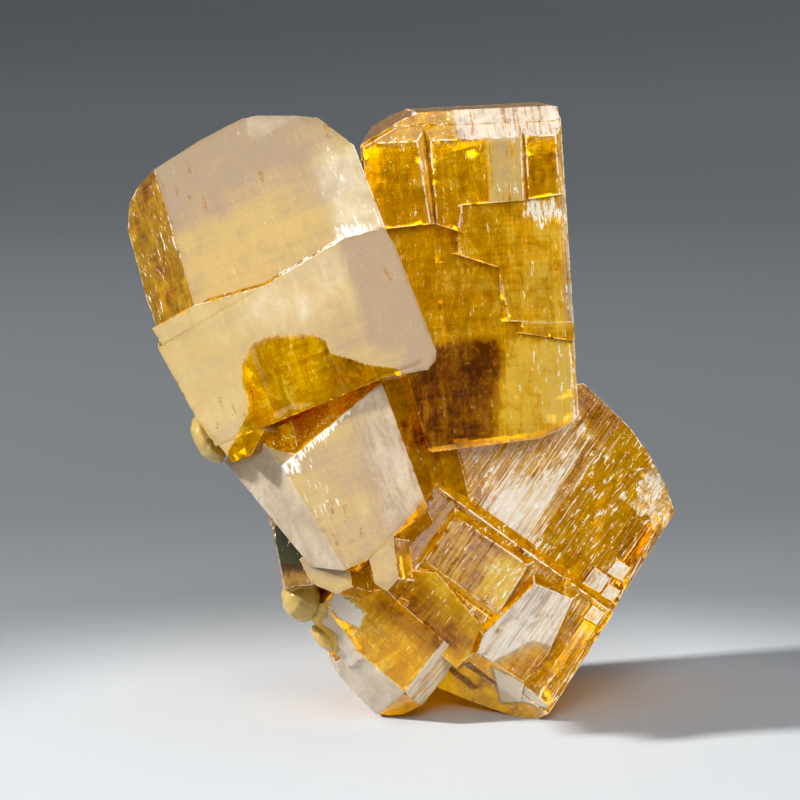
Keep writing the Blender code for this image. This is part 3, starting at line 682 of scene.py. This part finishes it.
barite = {
    "tones": [(0.0, (0.09, 0.025, 0.001)), (0.2, (0.30, 0.09, 0.001)), (0.4, (0.62, 0.27, 0.002)),
              (0.6, (0.88, 0.44, 0.003)), (0.8, (0.98, 0.52, 0.006)), (1.0, (1.0, 0.63, 0.05))],
    # cream, mauve and white colour the cream layer, partly a milky film and partly painted reflection; white
    # also colours flecks and the painted edge highlights
    "cream": (0.38, 0.268, 0.106, 1.0),
    "mauve": (0.30, 0.212, 0.125, 1.0),
    "white": (0.66, 0.61, 0.53, 1.0),
    # brown of the real cracks, and of the painted shade along the creases
    "crackAndCreaseShade": (0.26, 0.12, 0.02, 1.0),
    "slate": (0.12, 0.115, 0.075, 1.0),
    "clearness": 0.83,
    "roughness": 0.05,
    "ior": 1.64,
    "gloss": 0.3,
    "insideColour": (0.995, 0.945, 0.03, 1.0),
    "insideDensity": 130.0,
    "lineDepth": 0.00005,      # m, growth lines
}


def goldenBarite():
    material = bpy.data.materials.new("goldenBarite")
    material.use_nodes = True
    nodes, links = material.node_tree.nodes, material.node_tree.links
    shader = nodes["Principled BSDF"]

    def feed(socket, value):
        if isinstance(value, bpy.types.NodeSocket):
            links.new(value, socket)
        elif value is not None:
            socket.default_value = value

    def layer(name):
        node = nodes.new("ShaderNodeAttribute")
        node.attribute_name = name
        return node.outputs["Vector"] if name == "crystalSpace" else node.outputs["Fac"]

    def sums(operation, a, b=None, c=None):
        node = nodes.new("ShaderNodeMath")
        node.operation = operation
        for socket, value in zip(node.inputs, (a, b, c)):
            feed(socket, value)
        return node.outputs[0]

    def swayed(base, wave, strength):
        # the base value, moved up and down by a noise around its middle
        return sums("MULTIPLY_ADD", sums("SUBTRACT", wave, 0.5), strength, base)

    def spread(value, low, high, toLow=0.0, toHigh=1.0):
        node = nodes.new("ShaderNodeMapRange")
        node.interpolation_type = "SMOOTHSTEP"
        keys = ("Value", "From Min", "From Max", "To Min", "To Max")
        for key, number in zip(keys, (value, low, high, toLow, toHigh)):
            feed(node.inputs[key], number)
        return node.outputs["Result"]

    def blend(share, a, b):
        node = nodes.new("ShaderNodeMix")
        node.data_type = "RGBA"
        feed(node.inputs["Factor"], share)
        feed(node.inputs[6], a)
        feed(node.inputs[7], b)
        return node.outputs[2]

    def grainy(scale, stretch=(1.0, 1.0, 1.0), detail=4.0, rough=0.6, warp=0.0, at=(0.0, 0.0, 0.0)):
        place = nodes.new("ShaderNodeMapping")
        place.inputs["Scale"].default_value = stretch
        place.inputs["Location"].default_value = at
        links.new(space, place.inputs["Vector"])
        node = nodes.new("ShaderNodeTexNoise")
        links.new(place.outputs["Vector"], node.inputs["Vector"])
        node.inputs["Scale"].default_value = scale
        node.inputs["Detail"].default_value = detail
        node.inputs["Roughness"].default_value = rough
        node.inputs["Distortion"].default_value = warp
        return node.outputs["Fac"]

    space = layer("crystalSpace")
    glow, milkAndGlare, frost, fleck, grain = (layer(n) for n in ("glow", "milkAndGlare", "frost", "fleck", "grain"))
    cloud = grainy(0.22, detail=4.0, rough=0.62, warp=0.6)
    wisp = grainy(0.6, stretch=(1.0, 0.45, 1.0), detail=4.0, rough=0.65, warp=1.0, at=(5.0, 3.0, 1.0))
    band = grainy(1.0, stretch=(0.05, 0.32, 0.2), detail=3.0, rough=0.5, at=(2.0, 8.0, 3.0))
    row = grainy(1.0, stretch=(0.07, 1.5, 0.2), detail=3.0, rough=0.6, at=(7.0, 1.0, 5.0))
    fine = grainy(2.2, detail=4.0, rough=0.65)
    line = grainy(1.0, stretch=(2.4, 0.11, 0.15), detail=4.0, rough=0.7)
    ridge = grainy(1.0, stretch=(2.2, 0.05, 0.1), detail=2.0, rough=0.5, at=(6.0, 4.0, 8.0))

    # the amber inside: slow clouds and fine growth lines move it between brown and yellow
    shade = swayed(glow, cloud, 1.3)
    shade = swayed(shade, wisp, 1.2)
    shade = swayed(shade, fine, 0.45)
    shade = swayed(shade, row, 0.5)
    shade = sums("MULTIPLY_ADD", sums("MULTIPLY", sums("SUBTRACT", line, 0.5), grain), 0.9, shade)
    ramp = nodes.new("ShaderNodeValToRGB")
    links.new(shade, ramp.inputs["Fac"])
    while len(ramp.color_ramp.elements) < len(barite["tones"]):
        ramp.color_ramp.elements.new(0.5)
    for element, (at, tone) in zip(ramp.color_ramp.elements, barite["tones"]):
        element.position = at
        element.color = (*tone, 1.0)

    # the cream layer, partly a milky film and partly painted reflection of the soft panels, with feathered
    # ends where it stops
    streak = grainy(1.0, stretch=(2.6, 0.09, 0.12), detail=5.0, rough=0.68, warp=0.15, at=(3.0, 1.0, 6.0))
    edge = swayed(layer("milkAndGlareEdge"), fine, 0.5)
    feather = sums("MULTIPLY", sums("SUBTRACT", streak, 0.55), sums("POWER", grain, 3.0))
    edge = sums("MULTIPLY_ADD", feather, 30.0, edge)
    cover = sums("MULTIPLY", spread(edge, -0.08, 0.08), sums("MINIMUM", sums("MULTIPLY", milkAndGlare, 1.1), 0.96))
    solid = sums("MULTIPLY_ADD", spread(layer("milkAndGlareEdge"), 0.3, 3.5), 0.1, streak)
    solid = swayed(solid, wisp, 0.3)
    # the growth lines break the cream layer into stripes, as the painted reflection breaks into streaks
    stripes = sums("MULTIPLY", sums("POWER", grain, 4.0), spread(solid, 0.52, 0.6, 0.97, 0.0))
    cover = sums("MULTIPLY", cover, sums("SUBTRACT", 1.0, stripes))
    warm = swayed(glow, band, 1.8)
    warm = swayed(warm, cloud, 0.6)
    warm = swayed(warm, fine, 0.15)
    warm = swayed(warm, line, 0.55)
    warm = swayed(warm, row, 0.5)
    cream = blend(spread(warm, 0.1, 0.95), barite["mauve"], barite["cream"])
    pale = swayed(milkAndGlare, cloud, 0.07)      # whiter where the painted reflection is strongest, in clouds
    pale = swayed(pale, wisp, 0.05)
    cream = blend(spread(pale, 0.86, 0.98), cream, barite["white"])
    slate = blend(spread(glow, -0.3, -0.1), barite["slate"], ramp.outputs["Color"])
    colour = blend(cover, slate, cream)

    # white: flecks, painted highlights along the outer edges, broken into dashes, and frosted places
    dash = grainy(1.0, stretch=(2.6, 0.5, 2.0), detail=3.0, rough=0.75, at=(9.0, 2.0, 4.0))
    many = sums("MULTIPLY_ADD", fleck, -0.14, 0.7)
    many = swayed(many, wisp, -0.35)
    specks = sums("MULTIPLY", spread(dash, many, sums("ADD", many, 0.05)), spread(fleck, 0.0, 0.5, 0.3, 0.95))
    # painted highlight: white lines along the outer edges, broken into dashes by noise
    edgeGlintBreaks = spread(grainy(0.9, detail=3.0, at=(1.0, 7.0, 2.0)), 0.4, 0.53)
    rim = sums("MULTIPLY", spread(layer("rimGap"), 0.07, 0.2, 1.0, 0.0), edgeGlintBreaks)
    rim = sums("MULTIPLY", rim, spread(fleck, 0.08, 0.5, 0.0, 0.78))
    frosty = sums("MULTIPLY", spread(fine, 0.5, 0.68), sums("MULTIPLY", frost, 0.6))
    white = sums("MAXIMUM", sums("MAXIMUM", specks, rim), frosty)
    colour = blend(white, colour, barite["white"])
    # painted shade: a brown line along the inner edges, where faces meet in a crease; the nicks are real
    # cracks
    seam = spread(layer("seamGap"), 0.0, 0.2, 0.1, 0.0)
    nick = grainy(1.0, stretch=(4.5, 1.5, 3.0), detail=4.0, rough=0.65, warp=0.5, at=(4.0, 6.0, 2.0))
    nick = sums("MULTIPLY_ADD", sums("SUBTRACT", layer("crack"), 1.0), 0.3, nick)
    crack = sums("MAXIMUM", spread(nick, 0.5, 0.53, 0.0, 0.9), seam)
    colour = blend(crack, colour, barite["crackAndCreaseShade"])
    links.new(colour, shader.inputs["Base Color"])

    clear = sums("MULTIPLY", spread(cloud, 0.3, 0.7, 0.8, 1.15), barite["clearness"])
    clear = sums("MULTIPLY", clear, spread(shade, 0.5, 1.2, 1.0, 0.7))
    for layerOn in (cover, white, crack):
        clear = sums("MULTIPLY", clear, sums("SUBTRACT", 1.0, layerOn))
    feed(shader.inputs["Transmission Weight"], sums("MAXIMUM", clear, 0.0))
    rough = sums("MULTIPLY_ADD", frost, 0.25, barite["roughness"])
    rough = sums("MULTIPLY_ADD", white, 0.3, rough)
    rough = sums("MULTIPLY_ADD", spread(wisp, 0.4, 0.8), 0.05, rough)
    feed(shader.inputs["Roughness"], rough)
    shader.inputs["IOR"].default_value = barite["ior"]
    shader.inputs["Specular IOR Level"].default_value = barite["gloss"]

    height = sums("MULTIPLY", ridge, grain)
    height = sums("MULTIPLY_ADD", sums("MULTIPLY", fine, frost), 1.2, height)
    bump = nodes.new("ShaderNodeBump")
    bump.inputs["Distance"].default_value = barite["lineDepth"]
    links.new(height, bump.inputs["Height"])
    links.new(bump.outputs["Normal"], shader.inputs["Normal"])

    inside = nodes.new("ShaderNodeVolumeAbsorption")
    inside.inputs["Color"].default_value = barite["insideColour"]
    inside.inputs["Density"].default_value = barite["insideDensity"]
    links.new(inside.outputs["Volume"], nodes["Material Output"].inputs["Volume"])
    return material


cluster.data.materials.append(goldenBarite())
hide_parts("barite_cluster")
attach(cluster, "root")
print("cluster dressed")


# Stage: a floor that runs back into a grey sweep, the same all round. Its colour carries a painted pool of
# light: pale near the object, fading to grey further off
sweep = {
    "flat": 0.62,         # m, radius of the flat floor
    "curve": 0.5,         # m, radius of the upward curve
    "height": 1.6,
    "sides": 96,
    "rings": 28,
    "bright": (0.012, -0.02),     # m, middle of the painted pool of light on the floor
    "wide": 0.8,                 # how much a step aside counts beside a step back
    # tone of the paper by the distance along it, in metres: the painted pool of light, its painted fall-off,
    # and a paler painted band far back
    "tones": [(0.05, 0.63), (0.105, 0.27), (0.18, 0.22), (0.6, 0.26), (0.8, 0.2), (0.95, 0.15)],
    "logToRamp": (0.4, 0.8),     # from the logarithm of that distance to the place on the ramp
    "aside": (0.94, 1.25),       # painted light: how much lighter it gets from left to right
    "asideReach": 0.25,          # m, either side of the middle
    "tint": (0.982, 0.997, 0.998),
}


def studioSweep():
    profile = [(0.0, 0.0)]
    profile += [(sweep["flat"] * k / 8, 0.0) for k in range(1, 9)]
    for k in range(1, sweep["rings"]):
        a = math.pi / 2 * k / (sweep["rings"] - 1)
        profile.append((sweep["flat"] + sweep["curve"] * math.sin(a), sweep["curve"] * (1 - math.cos(a))))
    profile.append((sweep["flat"] + sweep["curve"], sweep["height"]))
    verts, faces = [(0.0, 0.0, 0.0)], []
    for r, z in profile[1:]:
        for k in range(sweep["sides"]):
            a = 2 * math.pi * k / sweep["sides"]
            verts.append((r * math.cos(a), r * math.sin(a), z))
    n = sweep["sides"]
    for k in range(n):
        faces.append((0, 1 + k, 1 + (k + 1) % n))
    for ring in range(len(profile) - 2):
        a, b = 1 + ring * n, 1 + (ring + 1) * n
        for k in range(n):
            faces.append((a + k, b + k, b + (k + 1) % n, a + (k + 1) % n))
    mesh = bpy.data.meshes.new("studioSweep")
    mesh.from_pydata(verts, [], faces)
    mesh.shade_smooth()
    floor = bpy.data.objects.new("studioSweep", mesh)
    bpy.context.collection.objects.link(floor)
    material = bpy.data.materials.new("paperSweep")
    material.use_nodes = True
    nodes, links = material.node_tree.nodes, material.node_tree.links
    shader = nodes["Principled BSDF"]
    shader.inputs["Roughness"].default_value = 0.8
    shader.inputs["Specular IOR Level"].default_value = 0.1

    def step(kind, operation, *values):
        node = nodes.new(kind)
        node.operation = operation
        for socket, value in zip(node.inputs, values):
            if isinstance(value, bpy.types.NodeSocket):
                links.new(value, socket)
            else:
                socket.default_value = value
        return node.outputs

    where = nodes.new("ShaderNodeTexCoord")
    split = nodes.new("ShaderNodeSeparateXYZ")
    links.new(where.outputs["Object"], split.inputs["Vector"])
    flatten = nodes.new("ShaderNodeCombineXYZ")
    links.new(split.outputs["X"], flatten.inputs["X"])
    links.new(split.outputs["Y"], flatten.inputs["Y"])
    away = step("ShaderNodeVectorMath", "SUBTRACT", flatten.outputs["Vector"], (*sweep["bright"], 0.0))
    oval = step("ShaderNodeVectorMath", "MULTIPLY", away["Vector"], (sweep["wide"], 1.0, 1.0))
    radius = step("ShaderNodeVectorMath", "LENGTH", oval["Vector"])
    reach = step("ShaderNodeMath", "ADD", radius["Value"], split.outputs["Z"])
    # the ramp runs over the logarithm of the distance, so that the near floor has room for the fade of its
    # painted pool of light
    log = step("ShaderNodeMath", "LOGARITHM", reach[0], 10.0)
    scale = step("ShaderNodeMath", "MULTIPLY_ADD", log[0], *sweep["logToRamp"])
    ramp = nodes.new("ShaderNodeValToRGB")
    links.new(scale[0], ramp.inputs["Fac"])
    ramp.color_ramp.interpolation = "EASE"
    while len(ramp.color_ramp.elements) < len(sweep["tones"]):
        ramp.color_ramp.elements.new(0.5)
    for element, (at, tone) in zip(ramp.color_ramp.elements, sweep["tones"]):
        element.position = max(0.0, sweep["logToRamp"][0] * math.log10(max(at, 0.01)) + sweep["logToRamp"][1])
        element.color = (*[tone * share for share in sweep["tint"]], 1.0)
    share = nodes.new("ShaderNodeMapRange")
    links.new(split.outputs["X"], share.inputs["Value"])
    reaches = (-sweep["asideReach"], sweep["asideReach"], *sweep["aside"])
    for key, number in zip(("From Min", "From Max", "To Min", "To Max"), reaches):
        share.inputs[key].default_value = number
    lighter = nodes.new("ShaderNodeVectorMath")
    lighter.operation = "SCALE"
    links.new(ramp.outputs["Color"], lighter.inputs[0])
    links.new(share.outputs["Result"], lighter.inputs["Scale"])
    links.new(lighter.outputs["Vector"], shader.inputs["Base Color"])
    mesh.materials.append(material)
    return floor


sweepPaper = studioSweep()


# Lights: soft panels round the object, by azimuth from the camera's side and elevation
panels = {
    "frontPanel": {"azimuth": -22.0, "elevation": 16.5, "distance": 0.9, "size": (0.27, 0.24), "shine": 1.5},
    "rightPanel": {"azimuth": 13.5, "elevation": 8.0, "distance": 0.9, "size": (0.11, 0.12), "shine": 2.8},
    "keyPanel": {"azimuth": -74.0, "elevation": 31.0, "distance": 1.1, "size": (0.09, 0.09), "shine": 700.0},
    "topPanel": {"azimuth": 40.0, "elevation": 82.0, "distance": 0.8, "size": (0.30, 0.26), "shine": 1.5},
}
# light for the crystals alone, from behind, from the sides and from the front
glows = {
    "backGlow": {"azimuth": 172.0, "elevation": 22.0, "distance": 0.7, "size": (0.9, 0.6), "shine": 5.0},
    "leftGlow": {"azimuth": -110.0, "elevation": 20.0, "distance": 0.7, "size": (0.5, 0.5), "shine": 3.0},
    "rightGlow": {"azimuth": 105.0, "elevation": 20.0, "distance": 0.7, "size": (0.5, 0.5), "shine": 5.0},
    "frontGlow": {"azimuth": 30.0, "elevation": 33.0, "distance": 0.8, "size": (0.5, 0.4), "shine": 12.5},
}
# light for the paper alone, which keeps the shadow pale
paperFill = {"azimuth": 5.0, "elevation": 42.0, "distance": 0.9, "size": (0.4, 0.4), "shine": 5.0}


def softPanel(name, azimuth, elevation, distance, size, shine):
    light = bpy.data.lights.new(name, "AREA")
    light.shape = "RECTANGLE"
    light.size, light.size_y = size
    light.energy = shine * math.pi * size[0] * size[1]
    light.color = (0.97, 0.985, 1.0)
    panel = bpy.data.objects.new(name, light)
    bpy.context.collection.objects.link(panel)
    a, e = math.radians(azimuth), math.radians(elevation)
    way = Vector((math.sin(a) * math.cos(e), -math.cos(a) * math.cos(e), math.sin(e)))
    panel.location = Vector((0.0, 0.0, 0.04)) + way * distance
    panel.rotation_euler = way.to_track_quat("Z", "Y").to_euler()
    panel.visible_camera = False
    return panel


for name, values in panels.items():
    softPanel(name, **values).visible_transmission = False
crystalsOnly = bpy.data.collections.new("crystalsOnly")
crystalsOnly.objects.link(cluster)
paperOnly = bpy.data.collections.new("paperOnly")
paperOnly.objects.link(sweepPaper)
softPanel("paperFill", **paperFill).light_linking.receiver_collection = paperOnly
for name, values in glows.items():
    panel = softPanel(name, **values)
    panel.light_linking.receiver_collection = crystalsOnly
    panel.visible_glossy = False

air = {"colour": (0.38, 0.56, 0.74, 1.0), "strength": 0.5, "black": 0.018}
world = bpy.data.worlds.new("studioAir")
world.use_nodes = True
world.node_tree.nodes["Background"].inputs["Color"].default_value = air["colour"]
world.node_tree.nodes["Background"].inputs["Strength"].default_value = air["strength"]
bpy.context.scene.world = world
grade = bpy.context.scene.view_settings
grade.view_transform = "Standard"
grade.use_curve_mapping = True
grade.curve_mapping.black_level = (air["black"],) * 3
grade.curve_mapping.update()
print("studio lit:", len(panels), "panels")


# Camera at the picture's viewing angle
view = {"elevation": 9.0, "distance": 0.42, "lens": 145.0, "target": (-0.0008, -0.00145, 0.0422)}
lookData = bpy.data.cameras.new("pictureCamera")
lookData.lens = view["lens"]
lookData.sensor_width = 36.0
lookData.clip_start = 0.02
lookData.clip_end = 20.0
look = bpy.data.objects.new("pictureCamera", lookData)
bpy.context.collection.objects.link(look)
tilt = math.radians(view["elevation"])
look.location = Vector(view["target"]) + Vector((0.0, -math.cos(tilt), math.sin(tilt))) * view["distance"]
look.rotation_euler = (Vector(view["target"]) - look.location).to_track_quat("-Z", "Y").to_euler()
bpy.context.scene.camera = look
